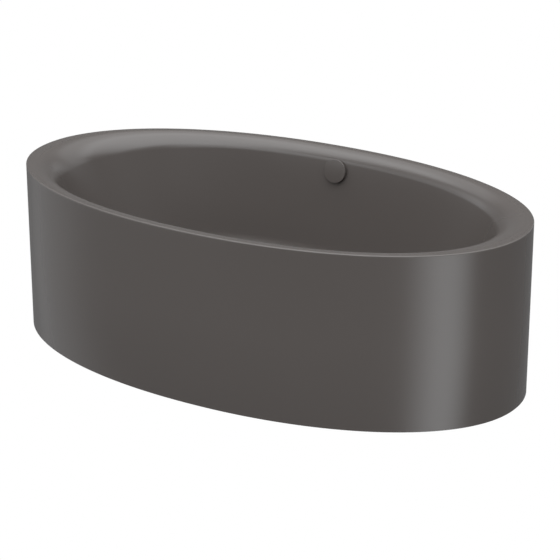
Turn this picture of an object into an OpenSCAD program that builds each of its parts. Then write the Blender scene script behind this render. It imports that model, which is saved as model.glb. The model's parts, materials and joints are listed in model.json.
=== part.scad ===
// Freestanding oval bath: enamelled steel shell and skirt on a levelling frame,
// with a knob-operated pop-up waste, overflow and trap.
// Frame: origin on the floor under the centre, +X along the bath, +Y to the overflow side, +Z up.

/* [Bath] */
// Overall length of the bath
bath_l = 1790; // [1740:10:1850]
// Overall width of the bath
bath_w = 1000; // [960:10:1040]
// Height of the rim above the floor
bath_h = 570; // [560:5:600]
// Depth of the basin at the edge of its floor
basin_depth = 422; // [410:1:425]
// Fall of the basin floor to the drain
floor_fall = 8; // [4:1:10]
// Thickness of the pressed shell
shell_t = 3; // [2.5:0.25:3.5]
// Thickness of the skirt's steel
skirt_t = 3; // [2:0.5:3.5]
// Gap between the skirt and the floor
skirt_gap = 3; // [2:1:5]

/* [Rim] */
// Radius of the outer edge of the rim
edge_r = 4; // [3.5:0.5:6]
// Height of the lip that meets the skirt
lip_h = 14; // [12:1:18]
// Flat land of the rim at the long sides
land_side = 17; // [14:1:20]
// Flat land of the rim at the ends
land_end = 34; // [30:1:38]
// Radius of the roll into the basin at the long sides
roll_side = 50; // [45:1:55]
// Radius of the roll into the basin at the ends
roll_end = 104; // [96:2:112]

/* [Basin] */
// Steepness of the long walls, from level
slope_side = 80; // [78:1:82]
// Steepness of the two backrests, from level
slope_end = 68; // [66:1:69]
// Radius where the long walls meet the floor
foot_r_side = 120; // [110:5:130]
// Radius where the backrests meet the floor
foot_r_end = 150; // [130:5:170]
// Drain hole radius
drain_r = 26; // [25:0.5:27]
// Depth of the recess around the drain
recess_h = 5; // [4:0.5:6]
// Height of the overflow hole's centre above the floor
overflow_z = 503; // [495:1:506]
// Overflow hole radius
overflow_r = 26; // [25:0.5:27]

/* [Frame] */
// Distance of each cross bar from the middle
bar_x = 400; // [380:5:420]
// Half length of a cross bar
bar_y = 330; // [320:5:335]
// Distance of each foot from the long axis
foot_y = 290; // [285:1:300]
// Distance of each long rail from the long axis
rail_y = 205; // [200:1:210]
// Length of a levelling stud
stud_l = 134; // [130:1:140]

/* [Waste] */
// Diameter of the turning knob
knob_d = 80; // [76:1:84]
// Outside radius of the outlet spigot
outlet_r = 20; // [18:0.5:20]

/* [Hidden] */
$fn = 64;
EPS = 0.01;

// Colours
ENAMEL = [0.31, 0.30, 0.29];
STEEL = [0.62, 0.64, 0.66];
ZINC = [0.72, 0.72, 0.70];
PLASTIC = [0.86, 0.86, 0.84];
DARK_PLASTIC = [0.16, 0.16, 0.17];
RUBBER = [0.08, 0.08, 0.08];
CHROME = [0.80, 0.81, 0.83];
BRASS = [0.75, 0.62, 0.36];

// Plan outlines: superellipses, a little squarer towards the floor
OUT_N = 2.09;
RIM_N = 2.16;
FLOOR_N = 2.3;
SEGMENTS = 96;
ANGLES = [for (i = [0:SEGMENTS - 1]) i * 360 / SEGMENTS];
HALF_L = bath_l / 2;
HALF_W = bath_w / 2;

// Drain recess
RECESS_TOP_R = 50;
RECESS_R = 45;
FLOOR_TOP = bath_h - basin_depth - floor_fall;
RECESS_Z = FLOOR_TOP - recess_h;
SEAT_Z = RECESS_Z - shell_t;

// Levels of the frame
RAIL_Z = 35;
RAIL_H = 25;
RAIL_W = 30;
RAIL_HALF = 470;
BAR_Z = RAIL_Z + RAIL_H;
BAR_H = 55;
BAR_W = 40;
TUBE_T = 2.5;
BAR_TOP = BAR_Z + BAR_H;
PLATE_T = 4;
PLATE_TOP = BAR_TOP + PLATE_T;
RING_Z = 6;
RING_T = 3;
RING_W = 30;

// Fasteners and fits
FIT = 0.06;
GAP = 0.3;
STUD_R = 6;
STUD_Z = 8;
WASHER_T = 2.5;
BOLT_R = 4;

function mix(a, b, t) = a + (b - a) * t;
function sgn(v) = v < 0 ? -1 : 1;
function power(v, p) = sgn(v) * pow(abs(v), p);
function oval(a, b, n, ang) = [a * power(cos(ang), 2 / n), b * power(sin(ang), 2 / n)];

// How much a direction belongs to the ends of the bath, from 0 at the sides to 1 at the ends
function endness(ang) =
    HALF_W * pow(cos(ang), 2)
    / sqrt(pow(HALF_W * cos(ang), 2) + pow(HALF_L * sin(ang), 2));

// A profile row: inset, drop below the rim, steepness (each [end, side]), outline exponent
ROLL_IN = [land_end + roll_end * sin(slope_end), land_side + roll_side * sin(slope_side)];
ROLL_DROP = [roll_end * (1 - cos(slope_end)), roll_side * (1 - cos(slope_side))];
FOOT_RUN = [foot_r_end * sin(slope_end), foot_r_side * sin(slope_side)];
FOOT_DROP = [foot_r_end * (1 - cos(slope_end)), foot_r_side * (1 - cos(slope_side))];
WALL_END = [basin_depth - FOOT_DROP[0], basin_depth - FOOT_DROP[1]];
WALL_IN = [
    ROLL_IN[0] + (WALL_END[0] - ROLL_DROP[0]) / tan(slope_end),
    ROLL_IN[1] + (WALL_END[1] - ROLL_DROP[1]) / tan(slope_side)
];
FLOOR_IN = [WALL_IN[0] + FOOT_RUN[0], WALL_IN[1] + FOOT_RUN[1]];

function edge_row(ang) =
    let (i = edge_r * (1 + sin(ang)), d = edge_r * (1 - cos(ang)))
    [[i, i], [d, d], [ang, ang], OUT_N];
function roll_row(t) =
    let (e = slope_end * t, s = slope_side * t)
    [[land_end + roll_end * sin(e), land_side + roll_side * sin(s)],
     [roll_end * (1 - cos(e)), roll_side * (1 - cos(s))],
     [e, s], mix(RIM_N, FLOOR_N, t / 3)];
function wall_row(t) =
    [[mix(ROLL_IN[0], WALL_IN[0], t), mix(ROLL_IN[1], WALL_IN[1], t)],
     [mix(ROLL_DROP[0], WALL_END[0], t), mix(ROLL_DROP[1], WALL_END[1], t)],
     [slope_end, slope_side], mix(RIM_N, FLOOR_N, (1 + t) / 3)];
function foot_row(t) =
    let (e = slope_end * (1 - t), s = slope_side * (1 - t))
    [[FLOOR_IN[0] - foot_r_end * sin(e), FLOOR_IN[1] - foot_r_side * sin(s)],
     [basin_depth - foot_r_end * (1 - cos(e)), basin_depth - foot_r_side * (1 - cos(s))],
     [e, s], mix(RIM_N, FLOOR_N, (2 + t) / 3)];
function floor_row(t) =
    let (d = basin_depth + floor_fall * t)
    [[mix(FLOOR_IN[0], HALF_L - RECESS_TOP_R, t), mix(FLOOR_IN[1], HALF_W - RECESS_TOP_R, t)],
     [d, d], [0, 0], mix(FLOOR_N, 2, t)];
function recess_row(r, drop, steep) =
    let (d = basin_depth + floor_fall + drop)
    [[HALF_L - r, HALF_W - r], [d, d], [steep, steep], 2];

LIP_ROW = [[0, 0], [lip_h, lip_h], [-90, -90], OUT_N];
LAND_ROW = [[mix(edge_r, land_end, 0.5), mix(edge_r, land_side, 0.5)], [0, 0], [0, 0], OUT_N];
ROWS = [
    LIP_ROW,
    for (i = [0:3]) edge_row(-90 + i * 30),
    LAND_ROW,
    for (i = [0:7]) roll_row(i / 7),
    for (i = [1:3]) wall_row(i / 3),
    for (i = [1:6]) foot_row(i / 6),
    for (i = [1:3]) floor_row(i / 4),
    recess_row(RECESS_TOP_R, 0, 0),
    recess_row((RECESS_TOP_R + RECESS_R) / 2, recess_h / 2, 45),
    recess_row(RECESS_R, recess_h, 0)
];

// A point of the shell, at a depth below its visible surface
function shell_point(row, ang, depth) =
    let (
        q = endness(ang),
        a = HALF_L - row[0][0] + depth * sin(row[2][0]),
        b = HALF_W - row[0][1] + depth * sin(row[2][1]),
        p = oval(a, b, row[3], ang),
        drop = mix(row[1][1], row[1][0], q),
        thick = depth * mix(cos(row[2][1]), cos(row[2][0]), q)
    )
    [p[0], p[1], bath_h - drop - thick];

module bath_outline(inset) {
    polygon([for (ang = ANGLES) oval(HALF_L - inset, HALF_W - inset, OUT_N, ang)]);
}

// A level band that follows the bath's outline
module outline_band(inset_out, inset_in, z, h) {
    translate([0, 0, z])
        linear_extrude(h)
            difference() {
                bath_outline(inset_out);
                bath_outline(inset_in);
            }
}

// The pressed shell before its holes: rim, roll, walls and floor of one thickness
module shell_blank() {
    rows = len(ROWS);
    n = SEGMENTS;
    top = [for (r = ROWS) each [for (ang = ANGLES) shell_point(r, ang, 0)]];
    under = [for (r = ROWS) each [for (ang = ANGLES) shell_point(r, ang, shell_t)]];
    lower = rows * n;
    centre = 2 * rows * n;
    points = [each top, each under, [0, 0, RECESS_Z], [0, 0, SEAT_Z]];
    top_faces = [
        for (r = [0:rows - 2], i = [0:n - 1])
            let (j = (i + 1) % n)
            [r * n + j, r * n + i, (r + 1) * n + i, (r + 1) * n + j]
    ];
    under_faces = [
        for (r = [0:rows - 2], i = [0:n - 1])
            let (j = (i + 1) % n)
            [lower + r * n + i, lower + r * n + j, lower + (r + 1) * n + j, lower + (r + 1) * n + i]
    ];
    lip_faces = [for (i = [0:n - 1]) let (j = (i + 1) % n) [i, j, lower + j, lower + i]];
    last = (rows - 1) * n;
    centre_faces = [
        for (i = [0:n - 1])
            let (j = (i + 1) % n)
            each [[last + j, last + i, centre], [lower + last + i, lower + last + j, centre + 1]]
    ];
    polyhedron(points, [each top_faces, each under_faces, each lip_faces, each centre_faces]);
}

// Rows that carry the pads and mats, counted along the profile, and the adhesive under the shell
FLOOR_ROW = 23;
BACKREST_ROW = 14;
GLUE_T = 0.5;

// A block that follows the underside of the shell between two angles and two rows.
// Its top lies clear of the shell by the given gap, and its foot is at a level or a constant depth.
function patch_grid(a0, a1, r0, r1, depth) =
    [for (r = [r0:r1]) each [for (i = [a0:a1]) shell_point(ROWS[r], i * 360 / SEGMENTS, depth)]];
module patch(a0, a1, r0, r1, depth, thick, level = -1) {
    across = a1 - a0 + 1;
    along = r1 - r0 + 1;
    count = across * along;
    top = patch_grid(a0, a1, r0, r1, depth);
    low = level < 0
        ? patch_grid(a0, a1, r0, r1, depth + thick)
        : [for (p = top) [p[0], p[1], level]];
    faces = [
        for (r = [0:along - 2], i = [0:across - 2])
            let (k = r * across + i)
            each [
                [k + 1, k, k + across, k + across + 1],
                [count + k, count + k + 1, count + k + across + 1, count + k + across]
            ],
        for (i = [0:across - 2])
            let (k = (along - 1) * across + i)
            each [[i, i + 1, count + i + 1, count + i], [k + 1, k, count + k, count + k + 1]],
        for (r = [0:along - 2])
            let (k = r * across, m = k + across - 1)
            each [
                [k + across, k, count + k, count + k + across],
                [m, m + across, count + m + across, count + m]
            ]
    ];
    polyhedron([each top, each low], faces);
}

// Axes of the overflow: local +Z points into the basin, local +Y up the wall
OVERFLOW_DROP = bath_h - overflow_z;
OVERFLOW_Y = HALF_W - mix(
    ROLL_IN[1], WALL_IN[1], (OVERFLOW_DROP - ROLL_DROP[1]) / (WALL_END[1] - ROLL_DROP[1])
);
module at_overflow() {
    translate([0, OVERFLOW_Y, overflow_z])
        rotate([slope_side, 0, 0])
            children();
}
function overflow_point(p) = [
    p[0],
    OVERFLOW_Y + p[1] * cos(slope_side) - p[2] * sin(slope_side),
    overflow_z + p[1] * sin(slope_side) + p[2] * cos(slope_side)
];

// Plain shapes
module ring(r_out, r_in, z, h) {
    translate([0, 0, z])
        difference() {
            cylinder(r = r_out, h = h);
            translate([0, 0, -1])
                cylinder(r = r_in, h = h + 2);
        }
}
module hexagon(across, z, h) {
    translate([0, 0, z])
        cylinder(r = across / sqrt(3), h = h, $fn = 6);
}
module nut(across, r_in, z, h) {
    difference() {
        hexagon(across, z, h);
        translate([0, 0, z - 1])
            cylinder(r = r_in, h = h + 2);
    }
}
module block(size, place) {
    translate([place[0] - size[0] / 2, place[1] - size[1] / 2, place[2]])
        cube(size);
}
// The four corners of the frame
module at_corners(x, y) {
    for (sx = [-1, 1], sy = [-1, 1])
        translate([sx * x, sy * y, 0])
            children();
}

// A tube swept along points, hollow when r_in is above zero; radii may follow the ring number
function unit(v) = v / norm(v);
function tangent(p, i) = unit(p[min(i + 1, len(p) - 1)] - p[max(i - 1, 0)]);
function sweep_ring(p, i, r, sides) =
    let (t = tangent(p, i), u = unit(cross(t, [1, 0.2, 0.1])), v = cross(t, u))
    [for (k = [0:sides - 1]) p[i] + r * (cos(k * 360 / sides) * u + sin(k * 360 / sides) * v)];
function curve_point(p, i, t) =
    let (
        a = p[max(i - 1, 0)], b = p[i], c = p[i + 1], d = p[min(i + 2, len(p) - 1)]
    )
    0.5 * (2 * b + (c - a) * t + (2 * a - 5 * b + 4 * c - d) * t * t
        + (3 * b - a - 3 * c + d) * t * t * t);
function curve(p, steps) =
    [for (i = [0:len(p) - 2], k = [0:steps - 1]) curve_point(p, i, k / steps), p[len(p) - 1]];
module sweep(p, radii, r_in, sides) {
    n = sides;
    last = len(p) - 1;
    outer = [for (i = [0:last]) each sweep_ring(p, i, radii[i], n)];
    inner = [for (i = [0:last]) each sweep_ring(p, i, r_in, n)];
    off = len(outer);
    end = last * n;
    faces = [
        for (i = [0:last - 1], k = [0:n - 1])
            let (a = i * n + k, b = i * n + (k + 1) % n)
            each [[b, a, a + n, b + n], [off + a, off + b, off + b + n, off + a + n]],
        for (k = [0:n - 1])
            let (m = (k + 1) % n)
            each [[k, m, off + m, off + k], [end + m, end + k, off + end + k, off + end + m]]
    ];
    solid = [
        for (i = [0:last - 1], k = [0:n - 1])
            let (a = i * n + k, b = i * n + (k + 1) % n)
            [b, a, a + n, b + n],
        [for (k = [0:n - 1]) k],
        [for (k = [0:n - 1]) end + n - 1 - k]
    ];
    if (r_in > 0)
        polyhedron([each outer, each inner], faces);
    else
        polyhedron(outer, solid);
}

// ---- Bath and skirt ----

OVERFLOW_SEAT_R = 36;
module bath_shell() {
    color(ENAMEL)
        difference() {
            shell_blank();
            cylinder(r = drain_r, h = bath_h / 2);
            at_overflow() {
                translate([0, 0, -30])
                    cylinder(r = overflow_r, h = 60);
                translate([0, 0, -shell_t - 9])
                    cylinder(r = OVERFLOW_SEAT_R, h = 9);
            }
        }
}

module skirt() {
    color(ENAMEL)
        outline_band(0, skirt_t, skirt_gap, bath_h - lip_h - skirt_gap);
}

BAND_T = 2;
BAND_H = 30;
module joint_band() {
    color(STEEL)
        outline_band(skirt_t, skirt_t + BAND_T, bath_h - lip_h - BAND_H + 10, BAND_H);
}

module skirt_base_ring() {
    color(STEEL)
        difference() {
            outline_band(skirt_t, RING_W, RING_Z, RING_T);
            at_corners(bar_x, BRACKET_BOLT_Y)
                translate([0, 0, RING_Z - 1])
                    cylinder(r = BOLT_R + 0.5, h = RING_T + 2);
        }
}

// ---- Levelling frame ----

module tube_x(length, width, height) {
    rotate([90, 0, 90])
        linear_extrude(length, center = true)
            difference() {
                translate([-width / 2, 0]) square([width, height]);
                translate([TUBE_T - width / 2, TUBE_T])
                    square([width - 2 * TUBE_T, height - 2 * TUBE_T]);
            }
}

module cross_bar(side) {
    color(ZINC)
        difference() {
            translate([side * bar_x, 0, BAR_Z])
                rotate([0, 0, 90])
                    tube_x(2 * bar_y, BAR_W, BAR_H);
            for (sy = [-1, 1], hole = [[foot_y, STUD_R + 0.5], [rail_y, BOLT_R + 0.5]])
                translate([side * bar_x, sy * hole[0], BAR_Z - 1])
                    cylinder(r = hole[1], h = BAR_H + 2);
            for (sy = [-1, 1])
                translate([side * bar_x, sy * ARM_BOLT_Y, BAR_Z - 1])
                    cylinder(r = BOLT_R + 0.5, h = TUBE_T + 2);
        }
}

module rail(side) {
    color(ZINC)
        difference() {
            translate([0, side * rail_y, RAIL_Z])
                tube_x(2 * RAIL_HALF, RAIL_W, RAIL_H);
            for (sx = [-1, 1])
                translate([sx * bar_x, side * rail_y, RAIL_Z - 1])
                    cylinder(r = BOLT_R + 0.5, h = RAIL_H + 2);
        }
}

CAP_T = 3;
module tube_end_caps() {
    color(DARK_PLASTIC) {
        for (sx = [-1, 1], sy = [-1, 1])
            block([BAR_W, CAP_T, BAR_H], [sx * bar_x, sy * (bar_y + CAP_T / 2), BAR_Z]);
        for (sx = [-1, 1], sy = [-1, 1])
            block([CAP_T, RAIL_W, RAIL_H], [sx * (RAIL_HALF + CAP_T / 2), sy * rail_y, RAIL_Z]);
    }
}

// Through bolts that hold the bars on the rails, each with its head and nut
module rail_bolts() {
    color(ZINC)
        at_corners(bar_x, rail_y) {
            hexagon(13, RAIL_Z - 5, 5);
            translate([0, 0, RAIL_Z - EPS])
                cylinder(r = BOLT_R, h = RAIL_H + BAR_H + 2 * EPS);
            hexagon(13, BAR_TOP, 6.5);
        }
}

PLATE_L = 160;
PLATE_W = 124;
PLATE_X = 390;
PLATE_Y = 102;
module saddle_plates() {
    color(ZINC)
        for (sx = [-1, 1], sy = [-1, 1])
            block([PLATE_L, PLATE_W, PLATE_T], [sx * PLATE_X, sy * PLATE_Y, BAR_TOP]);
}

PAD_A0 = 3;
PAD_A1 = 8;
module cradle_pads() {
    color(RUBBER)
        for (mx = [0, 1], my = [0, 1])
            mirror([mx, 0, 0])
                mirror([0, my, 0])
                    patch(PAD_A0, PAD_A1, FLOOR_ROW - 1, FLOOR_ROW, shell_t + GLUE_T, 0, PLATE_TOP);
}

MAT_T = 3;
module floor_mats() {
    color(DARK_PLASTIC)
        for (mx = [0, 1], my = [0, 1])
            mirror([mx, 0, 0])
                mirror([0, my, 0])
                    patch(12, 22, FLOOR_ROW - 1, FLOOR_ROW, shell_t + GLUE_T, MAT_T);
}
module backrest_mats() {
    color(DARK_PLASTIC)
        for (mx = [0, 1])
            mirror([mx, 0, 0])
                patch(-5, 5, BACKREST_ROW, BACKREST_ROW + 3, shell_t + GLUE_T, MAT_T);
}

// Brackets that tie the skirt's base ring to the bars
BRACKET_T = 4;
BRACKET_W = 30;
ARM_Y = 308;
ARM_BOLT_Y = 321;
DROP_Y = 421;
SHOE_Y = 444;
BRACKET_BOLT_Y = 434;
SHOE_Z = RING_Z + RING_T;
module skirt_brackets() {
    color(ZINC)
        for (sx = [-1, 1], my = [0, 1])
            mirror([0, my, 0])
                difference() {
                    translate([sx * bar_x - BRACKET_W / 2, 0, 0])
                        rotate([90, 0, 90])
                            linear_extrude(BRACKET_W)
                                polygon([
                                    [ARM_Y, BAR_Z - BRACKET_T], [DROP_Y, BAR_Z - BRACKET_T],
                                    [DROP_Y, SHOE_Z], [SHOE_Y, SHOE_Z],
                                    [SHOE_Y, SHOE_Z + BRACKET_T],
                                    [DROP_Y + BRACKET_T, SHOE_Z + BRACKET_T],
                                    [DROP_Y + BRACKET_T, BAR_Z], [ARM_Y, BAR_Z]
                                ]);
                    translate([sx * bar_x, ARM_BOLT_Y, BAR_Z - BRACKET_T - 1])
                        cylinder(r = BOLT_R + 0.5, h = BRACKET_T + 2);
                    translate([sx * bar_x, BRACKET_BOLT_Y, SHOE_Z - 1])
                        cylinder(r = BOLT_R + 0.5, h = BRACKET_T + 2);
                }
}
module bracket_bolts() {
    color(ZINC) {
        at_corners(bar_x, ARM_BOLT_Y) {
            hexagon(13, BAR_Z - BRACKET_T - 5, 5);
            translate([0, 0, BAR_Z - BRACKET_T - EPS])
                cylinder(r = BOLT_R, h = 16);
        }
        at_corners(bar_x, BRACKET_BOLT_Y) {
            translate([0, 0, RING_Z - 2])
                cylinder(r = BOLT_R, h = 18);
            hexagon(13, SHOE_Z + BRACKET_T, 6.5);
        }
    }
}

LUG_X = 250;
LUG_W = 24;
LUG_T = 3;
LUG_Z = 38;
LUG_H = 38;
LUG_HOLE_R = 3.2;
LUG_HOLE_Z = 68;
module earth_lug() {
    color(ZINC)
        difference() {
            block([LUG_W, LUG_T, LUG_H], [LUG_X, -rail_y - RAIL_W / 2 - LUG_T / 2, LUG_Z]);
            translate([LUG_X, -rail_y, LUG_HOLE_Z])
                rotate([90, 0, 0])
                    cylinder(r = LUG_HOLE_R, h = RAIL_W);
        }
}

module foot_washers() {
    color(ZINC)
        at_corners(bar_x, foot_y) {
            ring(13, STUD_R + 0.5, BAR_Z - WASHER_T, WASHER_T);
            ring(13, STUD_R + 0.5, BAR_TOP, WASHER_T);
        }
}

// ---- Levelling feet: sx and sy pick the corner ----

PAD_R = 28;
PAD_H = 8;
HUB_R = 11;
HUB_H = 12;
NUT_ACROSS = 19;
NUT_H = 10;
module at_foot(sx, sy) {
    translate([sx * bar_x, sy * foot_y, 0])
        children();
}
module foot_pad(sx, sy) {
    color(DARK_PLASTIC)
        at_foot(sx, sy)
            difference() {
                rotate_extrude()
                    polygon([
                        [0, 0], [PAD_R - 1, 0], [PAD_R, 1], [PAD_R, 4], [PAD_R - 3, PAD_H],
                        [HUB_R + 2, PAD_H + 1], [HUB_R, PAD_H + 3], [HUB_R, PAD_H + HUB_H],
                        [0, PAD_H + HUB_H]
                    ]);
                translate([0, 0, STUD_Z])
                    cylinder(r = STUD_R, h = HUB_H + 1);
            }
}
module foot_stud(sx, sy) {
    color(ZINC)
        at_foot(sx, sy)
            translate([0, 0, STUD_Z])
                cylinder(r = STUD_R, h = stud_l);
}
module adjusting_nut(sx, sy) {
    color(ZINC)
        at_foot(sx, sy)
            nut(NUT_ACROSS, STUD_R + FIT, BAR_Z - WASHER_T - GAP - NUT_H, NUT_H);
}
module lock_nut(sx, sy) {
    color(ZINC)
        at_foot(sx, sy)
            nut(NUT_ACROSS, STUD_R + FIT, BAR_TOP + WASHER_T + GAP, NUT_H * 0.7);
}

// ---- Waste ----

NECK_R = 24.5;
NECK_BORE = 22;
NECK_Z = 116;
FLANGE_Z = RECESS_Z + 1;
FLANGE_R = 38;
GUIDE_R = 11;
GUIDE_H = 9;
LIFTER_R = 8;
LIFTER_Z = 100;
LIFTER_H = 28;
STEM_R = 4;
STEM_Z = LIFTER_Z + 4;
BODY_R = 36;
BODY_T = 3;
BODY_TOP = SEAT_Z - 4;
BODY_Z = 72;
TAIL_R = 20;
TAIL_Z = 22;
TAIL_T = 2.5;
INLET_Z = 96;
INLET_R = 20;
INLET_END = 62;
LEVER_REACH = 16;
LEVER_Z = 97;
LEVER_TURN = 45;
AXLE_R = 2.5;
CABLE_Z = 107;

module in_lever_frame() {
    rotate([0, 0, LEVER_TURN])
        children();
}

module waste_flange() {
    color(CHROME) {
        rotate_extrude()
            polygon([
                [NECK_BORE, NECK_Z], [NECK_R, NECK_Z], [NECK_R, FLANGE_Z], [FLANGE_R, FLANGE_Z],
                [FLANGE_R, FLANGE_Z + 1.2], [FLANGE_R - 1.4, FLANGE_Z + 2.4],
                [FLANGE_R - 4, FLANGE_Z + 2.4], [NECK_R, FLANGE_Z + 1.2],
                [NECK_BORE, FLANGE_Z - 1]
            ]);
        ring(GUIDE_R, LIFTER_R + FIT, NECK_Z + 1, GUIDE_H);
        for (a = [0, 120, 240])
            rotate([0, 0, a + 15])
                block([NECK_BORE - GUIDE_R + 1, 3, GUIDE_H - 2],
                    [(NECK_BORE + GUIDE_R) / 2, 0, NECK_Z + 2]);
    }
}
module flange_seal() {
    color(RUBBER)
        ring(FLANGE_R - 2, drain_r + 0.5, RECESS_Z, FLANGE_Z - RECESS_Z);
}
module body_seal() {
    color(RUBBER)
        ring(FLANGE_R + 2, drain_r + 1, BODY_TOP, SEAT_Z - BODY_TOP);
}
module waste_body() {
    color(DARK_PLASTIC)
        difference() {
            union() {
                rotate_extrude()
                    polygon([
                        [0, BODY_Z - 6], [TAIL_R, BODY_Z - 6], [BODY_R, BODY_Z],
                        [BODY_R, BODY_TOP - 5], [FLANGE_R + 4, BODY_TOP - 5],
                        [FLANGE_R + 4, BODY_TOP], [0, BODY_TOP]
                    ]);
                translate([0, 0, TAIL_Z])
                    cylinder(r = TAIL_R, h = BODY_Z - TAIL_Z);
                translate([0, 0, INLET_Z])
                    rotate([-90, 0, 0])
                        cylinder(r = INLET_R, h = INLET_END);
                in_lever_frame()
                    translate([BODY_R - 4, 0, CABLE_Z])
                        rotate([0, 90, 0])
                            cylinder(r = 6, h = 16);
            }
            rotate_extrude()
                polygon([
                    [0, BODY_Z - 3], [TAIL_R - TAIL_T, BODY_Z - 3], [BODY_R - BODY_T, BODY_Z + 2.8],
                    [BODY_R - BODY_T, BODY_TOP - 9], [NECK_R + FIT, BODY_TOP - 7],
                    [NECK_R + FIT, BODY_TOP + 1], [0, BODY_TOP + 1]
                ]);
            translate([0, 0, TAIL_Z - 1])
                cylinder(r = TAIL_R - TAIL_T, h = BODY_Z - TAIL_Z);
            translate([0, 0, INLET_Z])
                rotate([-90, 0, 0])
                    cylinder(r = INLET_R - 3.5, h = INLET_END + 1);
            in_lever_frame() {
                translate([0, 0, CABLE_Z])
                    rotate([0, 90, 0])
                        cylinder(r = 2, h = BODY_R + 20);
                translate([LEVER_REACH, 0, LEVER_Z])
                    rotate([90, 0, 0])
                        cylinder(r = AXLE_R, h = 2 * (BODY_R - 5), center = true);
            }
        }
}
module lever_axle() {
    color(BRASS)
        in_lever_frame()
            translate([LEVER_REACH, 0, LEVER_Z])
                rotate([90, 0, 0])
                    cylinder(r = AXLE_R, h = 2 * (BODY_R - 5), center = true);
}
LEVER_W = 8;
TIP_R = 2.5;
CRANK_H = 10;
module lift_lever() {
    color(STEEL)
        in_lever_frame()
            translate([LEVER_REACH, 0, LEVER_Z])
                difference() {
                    union() {
                        rotate([90, 0, 0])
                            cylinder(r = 5, h = LEVER_W, center = true);
                        block([LEVER_REACH, LEVER_W, 2 * TIP_R], [-LEVER_REACH / 2, 0, -TIP_R]);
                        translate([-LEVER_REACH, 0, 0])
                            rotate([90, 0, 0])
                                cylinder(r = TIP_R, h = LEVER_W, center = true);
                        block([4, LEVER_W, CRANK_H + 2], [0, 0, 0]);
                    }
                    rotate([90, 0, 0])
                        cylinder(r = AXLE_R + FIT, h = LEVER_W + 2, center = true);
                }
}
module plug_lifter() {
    color(BRASS)
        difference() {
            translate([0, 0, LIFTER_Z])
                cylinder(r = LIFTER_R, h = LIFTER_H);
            translate([0, 0, STEM_Z - GAP])
                cylinder(r = STEM_R + FIT, h = LIFTER_H);
        }
}
PLUG_R = 33;
PLUG_Z = FLANGE_Z + 4;
module drain_plug() {
    color(ENAMEL)
        rotate_extrude()
            polygon([
                [0, PLUG_Z], [PLUG_R - 1, PLUG_Z], [PLUG_R, PLUG_Z + 1], [PLUG_R - 0.5, PLUG_Z + 2],
                [PLUG_R - 3, PLUG_Z + 3.2], [PLUG_R / 2, PLUG_Z + 4.6], [0, PLUG_Z + 5]
            ]);
}
module plug_seal() {
    color(RUBBER)
        ring(29, 25, FLANGE_Z + 2.4, PLUG_Z - FLANGE_Z - 2.4);
}
module plug_stem() {
    color(BRASS) {
        translate([0, 0, STEM_Z])
            cylinder(r = STEM_R, h = PLUG_Z - STEM_Z);
        hexagon(13, PLUG_Z - 4, 4);
    }
}

CUP_R = 52;
CUP_Z = 8;
CUP_TOP = 56;
CUP_T = 3;
OUTLET_Z = 34;
OUTLET_X = 92;
STUB_R = outlet_r + 2;
SPIGOT_T = 3;
module trap_body() {
    color(DARK_PLASTIC)
        difference() {
            union() {
                translate([0, 0, CUP_Z])
                    cylinder(r = CUP_R, h = CUP_TOP - CUP_Z);
                translate([0, 0, OUTLET_Z])
                    rotate([0, -90, 0])
                        cylinder(r = STUB_R, h = OUTLET_X);
            }
            translate([0, 0, CUP_Z + CUP_T])
                cylinder(r = CUP_R - CUP_T, h = CUP_TOP - CUP_Z - 2 * CUP_T);
            translate([0, 0, CUP_Z + CUP_T])
                cylinder(r = TAIL_R + FIT, h = CUP_TOP);
            translate([0, 0, OUTLET_Z])
                rotate([0, -90, 0])
                    cylinder(r = outlet_r - SPIGOT_T, h = OUTLET_X + 1);
        }
}
module tail_nut() {
    color(PLASTIC)
        nut(56, TAIL_R + FIT, CUP_TOP, 9);
}
SPIGOT_L = 76;
RELIEF_L = 1;
OUTLET_NUT_R = STUB_R + 4;
OUTLET_NUT_L = 22;
// A collar held by the nut, a narrow relief groove, then the plain pipe end
module outlet_spigot() {
    bore = outlet_r - SPIGOT_T;
    collar = OUTLET_NUT_L / 2;
    plain = collar + RELIEF_L;
    color(DARK_PLASTIC)
        translate([-OUTLET_X, 0, OUTLET_Z])
            rotate([0, -90, 0])
                difference() {
                    union() {
                        cylinder(r = STUB_R, h = collar);
                        cylinder(r = outlet_r - 1, h = SPIGOT_L - RELIEF_L);
                        translate([0, 0, plain])
                            cylinder(r = outlet_r, h = SPIGOT_L - plain);
                    }
                    translate([0, 0, -1])
                        cylinder(r = bore, h = SPIGOT_L + 2);
                }
}
module outlet_nut() {
    color(PLASTIC)
        translate([-OUTLET_X, 0, OUTLET_Z])
            rotate([0, -90, 0])
                ring(OUTLET_NUT_R, STUB_R + FIT, -OUTLET_NUT_L / 2, OUTLET_NUT_L);
}

// ---- Overflow ----

SPINDLE_R = 5;
KNOB_R = knob_d / 2;
KNOB_Z = 5;
KNOB_FRONT = 14;
KNOB_T = 4;
KNOB_HUB_R = 9;
ROSE_R = 35;
ROSE_Z = 0.6;
ROSE_T = 3;
SLEEVE_R = 25;
SLEEVE_T = 3;
SLEEVE_L = 12;
HOUSING_R = 36;
HOUSING_Z = -47;
HOUSING_T = 3;
GASKET_T = 3;
HOUSING_TOP = -shell_t - GASKET_T;
HOSE_R = 17;
SPOUT_Z = -26;
SPOUT_END = 52;
SCREW_X = 15;
SCREW_R = 2.5;
SCREW_END = -22;
DRUM_R = 22;
DRUM_Z = -36;
DRUM_T = 6;
GROOVE = 2;
FERRULE_X = 23;
FERRULE_Z = -33;
FERRULE_R = 5;
FERRULE_END = 42;

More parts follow.
